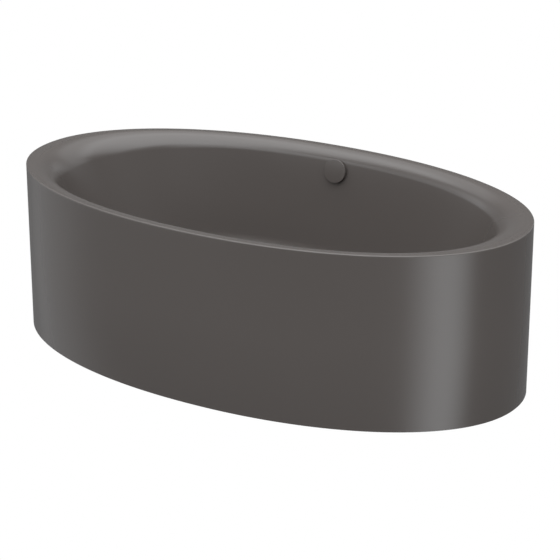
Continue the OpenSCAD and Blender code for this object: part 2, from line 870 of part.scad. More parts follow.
module overflow_flange() {
    color(CHROME)
        at_overflow()
            difference() {
                union() {
                    ring(ROSE_R, SLEEVE_R - SLEEVE_T, ROSE_Z, ROSE_T);
                    ring(SLEEVE_R, SLEEVE_R - SLEEVE_T, -SLEEVE_L, SLEEVE_L + 1);
                    block([2 * SLEEVE_R - SLEEVE_T - 1, 13, 4], [0, 0, ROSE_Z - 1]);
                }
                translate([0, 0, -2])
                    cylinder(r = SPINDLE_R + FIT, h = 8);
                for (sx = [-1, 1])
                    translate([sx * SCREW_X, 0, -2])
                        cylinder(r = SCREW_R + 0.2, h = 8);
            }
}
module overflow_gasket() {
    color(RUBBER)
        at_overflow()
            ring(ROSE_R - 1, overflow_r + 0.5, HOUSING_TOP, GASKET_T);
}
module overflow_housing() {
    color(DARK_PLASTIC)
        at_overflow()
            difference() {
                union() {
                    translate([0, 0, HOUSING_Z])
                        cylinder(r = HOUSING_R, h = HOUSING_TOP - HOUSING_Z);
                    translate([0, 0, SPOUT_Z])
                        rotate([90, 0, 0])
                            cylinder(r = HOSE_R, h = SPOUT_END);
                    translate([FERRULE_X, 0, FERRULE_Z])
                        rotate([90, 0, 0])
                            cylinder(r = FERRULE_R, h = FERRULE_END);
                }
                difference() {
                    translate([0, 0, HOUSING_Z + HOUSING_T])
                        cylinder(r = HOUSING_R - HOUSING_T, h = -HOUSING_Z);
                    block([2 * HOUSING_R - 2, 14, 10], [0, 0, SCREW_END - 2]);
                }
                translate([0, 0, HOUSING_Z + 1])
                    cylinder(r = SPINDLE_R + FIT, h = -HOUSING_Z);
                for (sx = [-1, 1])
                    translate([sx * SCREW_X, 0, SCREW_END])
                        cylinder(r = SCREW_R, h = -SCREW_END);
                translate([0, 0, SPOUT_Z])
                    rotate([90, 0, 0])
                        cylinder(r = HOSE_R - 2.5, h = SPOUT_END + 1);
                translate([FERRULE_X, 0, FERRULE_Z])
                    rotate([90, 0, 0])
                        cylinder(r = 2, h = FERRULE_END + 1);
            }
}
module overflow_screws() {
    color(STEEL)
        at_overflow()
            for (sx = [-1, 1])
                translate([sx * SCREW_X, 0, 0]) {
                    translate([0, 0, SCREW_END])
                        cylinder(r = SCREW_R, h = ROSE_Z + ROSE_T + 0.4 - SCREW_END);
                    translate([0, 0, ROSE_Z + ROSE_T])
                        cylinder(r1 = 4.5, r2 = 3.5, h = 1.8);
                }
}
module knob_spindle() {
    color(BRASS)
        at_overflow()
            translate([0, 0, HOUSING_Z + 1.5])
                cylinder(r = SPINDLE_R, h = KNOB_FRONT - KNOB_T - HOUSING_Z - 1.5);
}
module cable_drum() {
    color(PLASTIC)
        at_overflow()
            rotate_extrude()
                polygon([
                    [SPINDLE_R, DRUM_Z], [DRUM_R, DRUM_Z], [DRUM_R, DRUM_Z + 1],
                    [DRUM_R - GROOVE, DRUM_Z + 2], [DRUM_R - GROOVE, DRUM_Z + 4],
                    [DRUM_R, DRUM_Z + 5], [DRUM_R, DRUM_Z + DRUM_T], [SPINDLE_R, DRUM_Z + DRUM_T]
                ]);
}
module overflow_knob() {
    color(ENAMEL)
        at_overflow()
            rotate_extrude()
                polygon([
                    [SPINDLE_R, KNOB_Z], [KNOB_HUB_R, KNOB_Z],
                    [KNOB_HUB_R, KNOB_FRONT - KNOB_T], [KNOB_R - 3, KNOB_FRONT - KNOB_T],
                    [KNOB_R - 3, KNOB_Z + 1], [KNOB_R - 0.5, KNOB_Z + 1], [KNOB_R, KNOB_Z + 1.5],
                    [KNOB_R, KNOB_FRONT - 1], [KNOB_R - 1, KNOB_FRONT], [0, KNOB_FRONT],
                    [0, KNOB_FRONT - KNOB_T], [SPINDLE_R, KNOB_FRONT - KNOB_T]
                ]);
}

// The hose runs down behind the wall and in under the floor; its points are chosen by hand
HOSE_ROUTE = [
    overflow_point([0, -SPOUT_END - 1, SPOUT_Z]), overflow_point([0, -SPOUT_END - 40, SPOUT_Z]),
    [0, 436, 350], [0, 436, 280],
    [0, 430, 220], [0, 408, 165], [0, 365, 125], [0, 310, 104], [0, 240, 98], [0, 150, 96],
    [0, INLET_END, INLET_Z]
];
HOSE_STEPS = 7;
HOSE_DIP = 1.8;
HOSE_T = 4;
module overflow_hose() {
    path = curve(HOSE_ROUTE, HOSE_STEPS);
    last = len(path) - 1;
    radii = [for (i = [0:last]) HOSE_R - (i > 2 && i < last - 2 && i % 2 == 1 ? HOSE_DIP : 0)];
    color(PLASTIC)
        sweep(path, radii, HOSE_R - HOSE_T, 12);
}
module hose_nut_upper() {
    color(PLASTIC)
        at_overflow()
            translate([0, -SPOUT_END, SPOUT_Z])
                rotate([90, 0, 0])
                    ring(20.5, HOSE_R + FIT, -8, 11);
}
module hose_nut_lower() {
    color(PLASTIC)
        translate([0, INLET_END, INLET_Z])
            rotate([-90, 0, 0])
                difference() {
                    translate([0, 0, -12])
                        cylinder(r = 24, h = 16);
                    translate([0, 0, -13])
                        cylinder(r = INLET_R + FIT, h = 13);
                    translate([0, 0, -1])
                        cylinder(r = HOSE_R + FIT, h = 6);
                }
}

// The control cable's sheath, from the ferrule on the housing to the one on the waste body
CABLE_R = 3;
CABLE_END = (BODY_R + 12 + GAP) * cos(LEVER_TURN);
CABLE_ROUTE = [
    overflow_point([FERRULE_X, -FERRULE_END, FERRULE_Z]), [24, 447, 415], [30, 443, 350], [30, 442, 280],
    [30, 437, 215], [30, 414, 155], [29, 368, 112], [30, 310, 88], [36, 240, 84], [48, 170, 92],
    [60, 115, 102], [58, 68, 107],
    [CABLE_END + 8, CABLE_END + 8, CABLE_Z], [CABLE_END, CABLE_END, CABLE_Z]
];
module control_cable() {
    path = curve(CABLE_ROUTE, 4);
    color(RUBBER)
        sweep(path, [for (p = path) CABLE_R], 0, 8);
}
module cable_clips() {
    color(PLASTIC)
        for (place = [[350, 436, 443], [280, 436, 442]])
            translate([0, place[1], place[0] - 5])
                difference() {
                    union() {
                        cylinder(r = HOSE_R + 2.2, h = 10);
                        translate([0, -5, 0])
                            cube([36, 16, 10]);
                    }
                    translate([0, 0, -1])
                        cylinder(r = HOSE_R + 0.3, h = 12);
                    translate([30, place[2] - place[1], -1])
                        cylinder(r = CABLE_R + 0.6, h = 12);
                }
}

bath_shell();
skirt();
joint_band();
skirt_base_ring();
cross_bar(-1);  // cross_bar_left
cross_bar(1);  // cross_bar_right
rail(-1);  // rail_front
rail(1);  // rail_back
tube_end_caps();
rail_bolts();
saddle_plates();
cradle_pads();
floor_mats();
backrest_mats();
skirt_brackets();
bracket_bolts();
earth_lug();
foot_washers();
foot_pad(-1, -1);  // foot_pad_front_left
foot_pad(1, -1);  // foot_pad_front_right
foot_pad(-1, 1);  // foot_pad_back_left
foot_pad(1, 1);  // foot_pad_back_right
foot_stud(-1, -1);  // foot_stud_front_left
foot_stud(1, -1);  // foot_stud_front_right
foot_stud(-1, 1);  // foot_stud_back_left
foot_stud(1, 1);  // foot_stud_back_right
adjusting_nut(-1, -1);  // adjusting_nut_front_left
adjusting_nut(1, -1);  // adjusting_nut_front_right
adjusting_nut(-1, 1);  // adjusting_nut_back_left
adjusting_nut(1, 1);  // adjusting_nut_back_right
lock_nut(-1, -1);  // lock_nut_front_left
lock_nut(1, -1);  // lock_nut_front_right
lock_nut(-1, 1);  // lock_nut_back_left
lock_nut(1, 1);  // lock_nut_back_right
waste_flange();
flange_seal();
body_seal();
waste_body();
lever_axle();
lift_lever();
plug_lifter();
drain_plug();
plug_seal();
plug_stem();
trap_body();
tail_nut();
outlet_spigot();
outlet_nut();
overflow_flange();
overflow_gasket();
overflow_housing();
overflow_screws();
knob_spindle();
cable_drum();
overflow_knob();
overflow_hose();
hose_nut_upper();
hose_nut_lower();
control_cable();
cable_clips();
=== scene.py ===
import json
import math

import bmesh
import bpy
from mathutils import Matrix, Vector


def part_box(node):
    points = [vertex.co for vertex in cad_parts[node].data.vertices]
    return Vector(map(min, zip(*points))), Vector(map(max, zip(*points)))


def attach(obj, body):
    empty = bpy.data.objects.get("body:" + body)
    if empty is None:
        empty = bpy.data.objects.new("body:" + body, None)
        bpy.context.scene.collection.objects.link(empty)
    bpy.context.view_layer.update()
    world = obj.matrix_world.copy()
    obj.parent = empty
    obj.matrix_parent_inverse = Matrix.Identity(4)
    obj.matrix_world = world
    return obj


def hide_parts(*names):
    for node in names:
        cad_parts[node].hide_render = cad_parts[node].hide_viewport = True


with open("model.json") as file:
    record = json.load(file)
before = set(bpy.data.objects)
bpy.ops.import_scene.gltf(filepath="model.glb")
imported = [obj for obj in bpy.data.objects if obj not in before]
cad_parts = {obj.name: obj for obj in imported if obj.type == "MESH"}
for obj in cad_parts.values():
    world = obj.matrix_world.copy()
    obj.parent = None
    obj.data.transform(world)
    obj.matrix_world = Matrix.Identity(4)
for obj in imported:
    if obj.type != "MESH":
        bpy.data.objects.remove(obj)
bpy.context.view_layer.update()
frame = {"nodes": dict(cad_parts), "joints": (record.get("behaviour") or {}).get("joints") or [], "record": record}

MM = 0.001
TAU = 2 * math.pi

# ---------------------------------------------------------------- sizes of the bath, in metres

SHELL_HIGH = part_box("bath_shell")[1]
SKIRT_LOW, SKIRT_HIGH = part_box("skirt")
HALF_L = SHELL_HIGH.x
HALF_W = SHELL_HIGH.y
RIM_Z = SHELL_HIGH.z
LIP_Z = SKIRT_HIGH.z
SKIRT_Z = SKIRT_LOW.z
SHELL_T = 3 * MM
SKIRT_T = 3 * MM
BASIN_DEPTH = 422 * MM
FLOOR_FALL = 8 * MM
EDGE_R = 4 * MM
# Each pair is (ends, long sides)
LAND = (34 * MM, 17 * MM)
ROLL = (104 * MM, 50 * MM)
SLOPE = (math.radians(68), math.radians(80))
FOOT = (150 * MM, 120 * MM)
DRAIN_R = 26 * MM
RECESS_TOP_R = 50 * MM
RECESS_R = 45 * MM
RECESS_H = 5 * MM
# Superellipse exponents: the outer edge, the inner edge of the land, the basin floor
OUT_N = 2.09
RIM_N = 2.16
FLOOR_N = 2.3
# Points round each ring of the shell and skirt
SEGMENTS = 480
# Rows down each stretch of the shell's profile
EDGE_ROWS = 8
LAND_ROWS = 4
ROLL_ROWS = 36
WALL_ROWS = 10
FOOT_ROWS = 28
FLOOR_ROWS = 14
RECESS_ROWS = 8
DRAIN_ROWS_AT = (0.3, 0.6, 0.9, 1)


def mix(a, b, t):
    return a + (b - a) * t


def power(v, p):
    return math.copysign(abs(v) ** p, v)


def oval(a, b, n, ang):
    """A point of a superellipse."""
    return a * power(math.cos(ang), 2 / n), b * power(math.sin(ang), 2 / n)


def endness(ang):
    """How much a direction belongs to the ends of the bath: 0 at the sides, 1 at the ends."""
    c, s = math.cos(ang), math.sin(ang)
    return HALF_W * c * c / math.sqrt((HALF_W * c) ** 2 + (HALF_L * s) ** 2)


# ---------------------------------------------------------------- mesh helpers


def new_object(name, verts, faces):
    mesh = bpy.data.meshes.new(name)
    mesh.from_pydata(verts, [], faces)
    mesh.validate()
    obj = bpy.data.objects.new(name, mesh)
    bpy.context.scene.collection.objects.link(obj)
    return obj


# Edges sharper than this many degrees stay crisp
SHEET_CREASE = 40
ROUND_CREASE = 50
HOSE_CREASE = 60


def smooth(obj, degrees):
    """Smooth shading, with every edge sharper than the angle kept crisp."""
    bm = bmesh.new()
    bm.from_mesh(obj.data)
    limit = math.radians(degrees)
    for face in bm.faces:
        face.smooth = True
    for edge in bm.edges:
        edge.smooth = len(edge.link_faces) == 2 and edge.calc_face_angle(0) < limit
    bm.to_mesh(obj.data)
    bm.free()
    return obj


def rings_mesh(name, rings):
    """A closed surface through rings of equal length, with the last ring joined to the first."""
    n = len(rings[0])
    verts = [p for ring in rings for p in ring]
    faces = []
    for r in range(len(rings)):
        low, high = r * n, ((r + 1) % len(rings)) * n
        for i in range(n):
            j = (i + 1) % n
            faces.append((low + i, low + j, high + j, high + i))
    return new_object(name, verts, faces)


# ---------------------------------------------------------------- the bath's profile

# How far in and down each stretch ends, for the ends and the long sides
ROLL_IN = [LAND[k] + ROLL[k] * math.sin(SLOPE[k]) for k in (0, 1)]
ROLL_DROP = [ROLL[k] * (1 - math.cos(SLOPE[k])) for k in (0, 1)]
WALL_END = [BASIN_DEPTH - FOOT[k] * (1 - math.cos(SLOPE[k])) for k in (0, 1)]
WALL_IN = [ROLL_IN[k] + (WALL_END[k] - ROLL_DROP[k]) / math.tan(SLOPE[k]) for k in (0, 1)]
FLOOR_IN = [WALL_IN[k] + FOOT[k] * math.sin(SLOPE[k]) for k in (0, 1)]


# Each row is how far in and down it lies, how steep the sheet is there, and its exponent


def edge_row(ang):
    inset, drop = EDGE_R * (1 + math.sin(ang)), EDGE_R * (1 - math.cos(ang))
    return (inset, inset), (drop, drop), (ang, ang), OUT_N


def land_row(t):
    inset = tuple(mix(EDGE_R, LAND[k], t) for k in (0, 1))
    return inset, (0, 0), (0, 0), mix(OUT_N, RIM_N, t)


def roll_row(t):
    a = [SLOPE[k] * t for k in (0, 1)]
    inset = tuple(LAND[k] + ROLL[k] * math.sin(a[k]) for k in (0, 1))
    drop = tuple(ROLL[k] * (1 - math.cos(a[k])) for k in (0, 1))
    return inset, drop, tuple(a), mix(RIM_N, FLOOR_N, t / 3)


def wall_row(t):
    inset = tuple(mix(ROLL_IN[k], WALL_IN[k], t) for k in (0, 1))
    drop = tuple(mix(ROLL_DROP[k], WALL_END[k], t) for k in (0, 1))
    return inset, drop, SLOPE, mix(RIM_N, FLOOR_N, (1 + t) / 3)


def foot_row(t):
    a = [SLOPE[k] * (1 - t) for k in (0, 1)]
    inset = tuple(FLOOR_IN[k] - FOOT[k] * math.sin(a[k]) for k in (0, 1))
    drop = tuple(BASIN_DEPTH - FOOT[k] * (1 - math.cos(a[k])) for k in (0, 1))
    return inset, drop, tuple(a), mix(RIM_N, FLOOR_N, (2 + t) / 3)


def floor_row(t):
    half = (HALF_L, HALF_W)
    inset = tuple(mix(FLOOR_IN[k], half[k] - RECESS_TOP_R, t) for k in (0, 1))
    drop = BASIN_DEPTH + FLOOR_FALL * t
    return inset, (drop, drop), (0, 0), mix(FLOOR_N, 2, t)


def circle_row(radius, drop, steep):
    depth = BASIN_DEPTH + FLOOR_FALL + drop
    return (HALF_L - radius, HALF_W - radius), (depth, depth), (steep, steep), 2


def spread(make, count):
    return [make(i / count) for i in range(1, count + 1)]


def recess_rows():
    """The soft step down to the drain: an S in section."""
    rows = []
    for i in range(1, RECESS_ROWS + 1):
        t = i / RECESS_ROWS
        drop = RECESS_H * (1 - math.cos(math.pi * t)) / 2
        steep = math.atan(RECESS_H * math.pi / 2 * math.sin(math.pi * t) / (RECESS_TOP_R - RECESS_R))
        rows.append(circle_row(mix(RECESS_TOP_R, RECESS_R, t), drop, steep))
    return rows


def profile():
    """The shell's face from the outer lip over the rim and down to the drain hole."""
    lip = ((0, 0), (RIM_Z - LIP_Z,) * 2, (-math.pi / 2,) * 2, OUT_N)
    rows = [lip]
    rows += [edge_row(-math.pi / 2 * (1 - i / EDGE_ROWS)) for i in range(EDGE_ROWS + 1)]
    rows += spread(land_row, LAND_ROWS) + spread(roll_row, ROLL_ROWS)
    rows += spread(wall_row, WALL_ROWS) + spread(foot_row, FOOT_ROWS)
    rows += spread(floor_row, FLOOR_ROWS) + recess_rows()
    rows += [circle_row(mix(RECESS_R, DRAIN_R, t), RECESS_H, 0) for t in DRAIN_ROWS_AT]
    return rows


def shell_point(row, ang, depth):
    """The point of a row in one direction, at a depth below the shell's face."""
    inset, drop, steep, n = row
    q = endness(ang)
    x, y = oval(
        HALF_L - inset[0] + depth * math.sin(steep[0]),
        HALF_W - inset[1] + depth * math.sin(steep[1]), n, ang)
    thick = depth * mix(math.cos(steep[1]), math.cos(steep[0]), q)
    return x, y, RIM_Z - mix(drop[1], drop[0], q) - thick


def angles():
    return [TAU * i / SEGMENTS for i in range(SEGMENTS)]


def shell_ring(row, depth):
    return [shell_point(row, a, depth) for a in angles()]


# ---------------------------------------------------------------- pieces

OVERFLOW = next(j for j in frame["joints"] if j["name"] == "knob_turn")
OVERFLOW_AT = Vector(OVERFLOW["pos_m"])
OVERFLOW_AXIS = Vector(OVERFLOW["axis"]).normalized()
OVERFLOW_R = 26 * MM
HOLE_LENGTH = 40 * MM
HOLE_SIDES = 64


def overflow_matrix():
    """Local +Z points into the basin, local +Y up the wall."""
    side = Vector((1, 0, 0))
    up = OVERFLOW_AXIS.cross(side)
    turn = Matrix((side, up, OVERFLOW_AXIS)).transposed()
    return Matrix.Translation(OVERFLOW_AT) @ turn.to_4x4()


def cut_round_hole(obj, matrix, radius, length):
    """Cuts a clean round hole along the matrix's Z."""
    bm = bmesh.new()
    bmesh.ops.create_cone(bm, cap_ends=True, segments=HOLE_SIDES, radius1=radius,
                          radius2=radius, depth=length, matrix=matrix)
    mesh = bpy.data.meshes.new("cutter")
    bm.to_mesh(mesh)
    bm.free()
    cutter = bpy.data.objects.new("cutter", mesh)
    bpy.context.scene.collection.objects.link(cutter)
    mod = obj.modifiers.new("hole", "BOOLEAN")
    mod.operation = "DIFFERENCE"
    mod.solver = "EXACT"
    mod.object = cutter
    bpy.context.view_layer.update()
    graph = bpy.context.evaluated_depsgraph_get()
    cut = bpy.data.meshes.new_from_object(obj.evaluated_get(graph))
    obj.modifiers.clear()
    obj.data = cut
    bpy.data.objects.remove(cutter)


def make_shell():
    """The pressed sheet: the profile's rows on its face, and again on its back."""
    rows = profile()
    rings = [shell_ring(row, 0) for row in rows]
    rings += [shell_ring(row, SHELL_T) for row in reversed(rows)]
    obj = rings_mesh("bath_shell_enamel", [list(reversed(r)) for r in rings])
    cut_round_hole(obj, overflow_matrix(), OVERFLOW_R, HOLE_LENGTH)
    return smooth(obj, SHEET_CREASE)


def outline_ring(inset, z):
    return [(*oval(HALF_L - inset, HALF_W - inset, OUT_N, a), z) for a in angles()]


HEM_R = 0.8 * MM
HEM_STEPS = 3


def make_skirt():
    """A plain band whose two bottom edges are rounded."""
    turns = [math.pi / 2 * i / HEM_STEPS for i in range(1, HEM_STEPS + 1)]
    hem = [(HEM_R * (1 - math.cos(a)), SKIRT_Z + HEM_R * (1 - math.sin(a))) for a in turns]
    section = [(0, LIP_Z), (0, mix(LIP_Z, SKIRT_Z, 0.5)), (0, SKIRT_Z + HEM_R)] + hem
    section += [(SKIRT_T - inset, z) for inset, z in reversed(hem)]
    section += [(SKIRT_T, SKIRT_Z + HEM_R), (SKIRT_T, LIP_Z)]
    obj = rings_mesh("skirt_enamel", [outline_ring(i, z) for i, z in section])
    return smooth(obj, SHEET_CREASE)


ROUND_SIDES = 128


def revolve(name, section, matrix):
    """A round piece from (radius, height) points; points of radius 0 lie on the axis."""
    verts, faces, rings = [], [], []
    for radius, height in section:
        if radius == 0:
            rings.append([len(verts)])
            verts.append(matrix @ Vector((0, 0, height)))
            continue
        rings.append(list(range(len(verts), len(verts) + ROUND_SIDES)))
        for i in range(ROUND_SIDES):
            a = TAU * i / ROUND_SIDES
            verts.append(matrix @ Vector((radius * math.cos(a), radius * math.sin(a), height)))
    for low, high in zip(rings, rings[1:]):
        for i in range(ROUND_SIDES):
            j = (i + 1) % ROUND_SIDES
            corners = [low[i % len(low)], low[j % len(low)], high[j % len(high)], high[i % len(high)]]
            faces.append(tuple(dict.fromkeys(corners)))
    return smooth(new_object(name, verts, faces), ROUND_CREASE)


CORNER_STEPS = 5
# A corner's curve takes at most this share of the edges beside it
CORNER_SHARE = 0.45


def rounded(corners, radius):
    """A section with every corner softened by a curve; its end points are left alone."""
    points = [corners[0]]
    for before, here, after in zip(corners, corners[1:], corners[2:]):
        b, h, a = Vector(before), Vector(here), Vector(after)
        r = min(radius, (b - h).length * CORNER_SHARE, (a - h).length * CORNER_SHARE)
        start, end = h + (b - h).normalized() * r, h + (a - h).normalized() * r
        for i in range(CORNER_STEPS + 1):
            t = i / CORNER_STEPS
            points.append(tuple(start.lerp(h, t).lerp(h.lerp(end, t), t)))
    return points + [corners[-1]]


KNOB_R = 40 * MM
KNOB_BACK = 5 * MM
KNOB_FRONT = 14 * MM
KNOB_T = 4 * MM
KNOB_WALL = 3 * MM
KNOB_HUB_R = 9 * MM
KNOB_RIM_BACK = KNOB_BACK + MM
KNOB_EDGE_R = 1.1 * MM
SPINDLE_R = 5 * MM


def make_knob():
    """A shallow cap with a softly rounded face and a hub that sits on the spindle."""
    inside = KNOB_FRONT - KNOB_T
    shown = [(SPINDLE_R, KNOB_BACK), (KNOB_HUB_R, KNOB_BACK), (KNOB_HUB_R, inside),
             (KNOB_R - KNOB_WALL, inside), (KNOB_R - KNOB_WALL, KNOB_RIM_BACK),
             (KNOB_R, KNOB_RIM_BACK), (KNOB_R, KNOB_FRONT), (0, KNOB_FRONT)]
    bore = [(0, inside), (SPINDLE_R, inside), (SPINDLE_R, KNOB_BACK)]
    section = rounded(shown, KNOB_EDGE_R) + bore
    return revolve("overflow_knob_cap", section, overflow_matrix())


PLUG_LOW, PLUG_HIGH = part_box("drain_plug")
PLUG_R = PLUG_HIGH.x
PLUG_H = PLUG_HIGH.z - PLUG_LOW.z
# The soft lower edge, and the bigger roll above it
PLUG_EDGE = 1 * MM
PLUG_EDGE_MID = 0.3 * MM
PLUG_ROLL_IN = 3 * MM
PLUG_ROLL_UP = 2 * MM
PLUG_ROLL_STEPS = 6
PLUG_DOME_STEPS = 16


def make_plug():
    """The waste cover: a low dome with a rolled edge."""
    section = [(0, 0), (PLUG_R - PLUG_EDGE, 0), (PLUG_R - PLUG_EDGE_MID, PLUG_EDGE_MID),
               (PLUG_R, PLUG_EDGE)]
    for i in range(1, PLUG_ROLL_STEPS + 1):
        a = math.pi / 2 * i / PLUG_ROLL_STEPS
        section.append((PLUG_R - PLUG_ROLL_IN * (1 - math.cos(a)),
                        PLUG_EDGE + PLUG_ROLL_UP * math.sin(a)))
    dome_r = PLUG_R - PLUG_ROLL_IN
    dome_z = PLUG_EDGE + PLUG_ROLL_UP
    for i in range(1, PLUG_DOME_STEPS + 1):
        r = dome_r * (1 - i / PLUG_DOME_STEPS)
        crown = 1 - (r / dome_r) ** 2
        section.append((r, dome_z + (PLUG_H - dome_z) * crown))
    return revolve("waste_cover", section, Matrix.Translation((0, 0, PLUG_LOW.z)))


def curve_points(route, steps):
    """The smooth line through the route's points that part.scad follows."""
    points = []
    for i in range(len(route) - 1):
        a, b = route[max(i - 1, 0)], route[i]
        c, d = route[i + 1], route[min(i + 2, len(route) - 1)]
        for k in range(steps):
            t = k / steps
            points.append(0.5 * (2 * b + (c - a) * t + (2 * a - 5 * b + 4 * c - d) * t * t
                                 + (3 * b - a - 3 * c + d) * t ** 3))
    return points + [route[-1]]


HOSE_R = 17 * MM
HOSE_BORE = 13 * MM
HOSE_DIP = 1.8 * MM
HOSE_SIDES = 36
# Counted in points of the path: a span of the route, a cuff, a ring, a step of the bore
HOSE_STEPS = 36
HOSE_CUFF = 26
HOSE_RING = 5
HOSE_BORE_STRIDE = 6
# The spout under the overflow housing: behind the knob, and down from it
SPOUT_BACK = -26 * MM
SPOUT_DOWN = (-53 * MM, -92 * MM)
# Given in mm, the same as in part.scad
HOSE_ROUTE = [(0, 436, 350), (0, 436, 280), (0, 430, 220), (0, 408, 165), (0, 365, 125),
              (0, 310, 104), (0, 240, 98), (0, 150, 96), (0, 62, 96)]


def make_hose():
    """The overflow hose: plain cuffs at both ends and fine rings between them."""
    place = overflow_matrix()
    spout = [place @ Vector((0, down, SPOUT_BACK)) for down in SPOUT_DOWN]
    route = spout + [Vector(p) * MM for p in HOSE_ROUTE]
    path = curve_points(route, HOSE_STEPS)
    last = len(path) - 1
    rings = []
    for i, point in enumerate(path):
        ahead = (path[min(i + 1, last)] - path[max(i - 1, 0)]).normalized()
        side = Vector((1, 0, 0))
        up = ahead.cross(side).normalized()
        ribbed = HOSE_CUFF < i < last - HOSE_CUFF
        dip = HOSE_DIP * (0.5 - 0.5 * math.cos(i * TAU / HOSE_RING)) if ribbed else 0
        radius = HOSE_R - dip
        rings.append([point + side * (radius * math.cos(a)) + up * (radius * math.sin(a))
                      for a in (TAU * k / HOSE_SIDES for k in range(HOSE_SIDES))])
    bore = []
    for i in reversed(range(0, last + 1, HOSE_BORE_STRIDE)):
        centre = path[i]
        bore.append([centre + (p - centre).normalized() * HOSE_BORE for p in rings[i]])
    return smooth(rings_mesh("overflow_hose_ribbed", rings + bore), HOSE_CREASE)


# ---------------------------------------------------------------- materials

ENAMEL_DARK = (0.0712, 0.0621, 0.0570)
ENAMEL_LIGHT = (0.0752, 0.0655, 0.0602)
ENAMEL_ROUGH = 0.24
ENAMEL_IOR = 1.5
PLASTIC_IOR = 1.48


def new_material(name):
    mat = bpy.data.materials.new(name)
    mat.use_nodes = True
    return mat, mat.node_tree.nodes, mat.node_tree.links, mat.node_tree.nodes["Principled BSDF"]


def object_coords(nodes):
    return nodes.new("ShaderNodeTexCoord").outputs["Object"]


def noise(nodes, links, coords, scale, detail=4, rough=0.5):
    node = nodes.new("ShaderNodeTexNoise")
    node.inputs["Scale"].default_value = scale
    node.inputs["Detail"].default_value = detail
    node.inputs["Roughness"].default_value = rough
    links.new(coords, node.inputs["Vector"])
    return node.outputs["Fac"]


def ramp(nodes, links, value, low, high):
    """Maps 0..1 to low..high; colours as tuples, numbers as floats."""
    # A Mix node has its own sockets for each type: 2, 3 and out 0 for numbers, 6, 7 and out 2 for colours
    node = nodes.new("ShaderNodeMix")
    if isinstance(low, tuple):
        node.data_type = "RGBA"
        node.inputs[6].default_value = (*low, 1)
        node.inputs[7].default_value = (*high, 1)
        links.new(value, node.inputs[0])
        return node.outputs[2]
    node.inputs[2].default_value = low
    node.inputs[3].default_value = high
    links.new(value, node.inputs[0])
    return node.outputs[0]


def bump(nodes, links, bsdf, height, strength, distance):
    node = nodes.new("ShaderNodeBump")
    node.inputs["Strength"].default_value = strength
    node.inputs["Distance"].default_value = distance
    links.new(height, node.inputs["Height"])
    links.new(node.outputs["Normal"], bsdf.inputs["Normal"])


def enamel():
    """Satin stove enamel: a faint orange peel, slow clouds of tone and very light rub marks."""
    mat, nodes, links, bsdf = new_material("enamel")
    coords = object_coords(nodes)
    cloud = noise(nodes, links, coords, scale=3)
    fine = noise(nodes, links, coords, scale=260, detail=3)
    drawn_out = stretched(nodes, links, coords, scale=(14, 14, 160))
    rub = noise(nodes, links, drawn_out, scale=1, detail=5, rough=0.65)
    colour = ramp(nodes, links, cloud, ENAMEL_DARK, ENAMEL_LIGHT)
    links.new(colour, bsdf.inputs["Base Color"])
    dull = product(nodes, links, fine, rub)
    links.new(ramp(nodes, links, dull, ENAMEL_ROUGH - 0.03, ENAMEL_ROUGH + 0.09),
              bsdf.inputs["Roughness"])
    bsdf.inputs["IOR"].default_value = ENAMEL_IOR
    bump(nodes, links, bsdf, fine, strength=0.05, distance=0.0003)
    return mat


def stretched(nodes, links, coords, scale):
    node = nodes.new("ShaderNodeMapping")
    node.inputs["Scale"].default_value = scale
    links.new(coords, node.inputs["Vector"])
    return node.outputs["Vector"]


def product(nodes, links, a, b):
    node = nodes.new("ShaderNodeMath")
    node.operation = "MULTIPLY"
    links.new(a, node.inputs[0])
    links.new(b, node.inputs[1])
    return node.outputs[0]


def moulded(name, low, high, rough, grain, relief):
    """Plastic, rubber or bitumen: cloudy colour, a fine moulded grain, and dull patches of dust."""
    mat, nodes, links, bsdf = new_material(name)
    coords = object_coords(nodes)
    cloud = noise(nodes, links, coords, scale=14, detail=5)
    fine = noise(nodes, links, coords, scale=grain, detail=3)
    dust = noise(nodes, links, coords, scale=60, detail=3)
    links.new(ramp(nodes, links, cloud, low, high), bsdf.inputs["Base Color"])
    patches = product(nodes, links, cloud, dust)
    links.new(ramp(nodes, links, patches, rough - 0.10, rough + 0.22), bsdf.inputs["Roughness"])
    bsdf.inputs["IOR"].default_value = PLASTIC_IOR
    bump(nodes, links, bsdf, fine, strength=0.35, distance=relief)
    return mat


def machined(name, low, high, rough, stretch, relief):
    """Bare metal with fine tool or rolling marks drawn out along one axis, and dull finger marks."""
    mat, nodes, links, bsdf = new_material(name)
    coords = object_coords(nodes)
    drawn_out = stretched(nodes, links, coords, scale=stretch)
    marks = noise(nodes, links, drawn_out, scale=1, detail=4, rough=0.7)
    smear = noise(nodes, links, coords, scale=26, detail=4)
    links.new(ramp(nodes, links, smear, low, high), bsdf.inputs["Base Color"])
    both = product(nodes, links, marks, smear)
    links.new(ramp(nodes, links, both, rough - 0.08, rough + 0.30), bsdf.inputs["Roughness"])
    bsdf.inputs["Metallic"].default_value = 1
    bump(nodes, links, bsdf, marks, strength=0.25, distance=relief)
    return mat


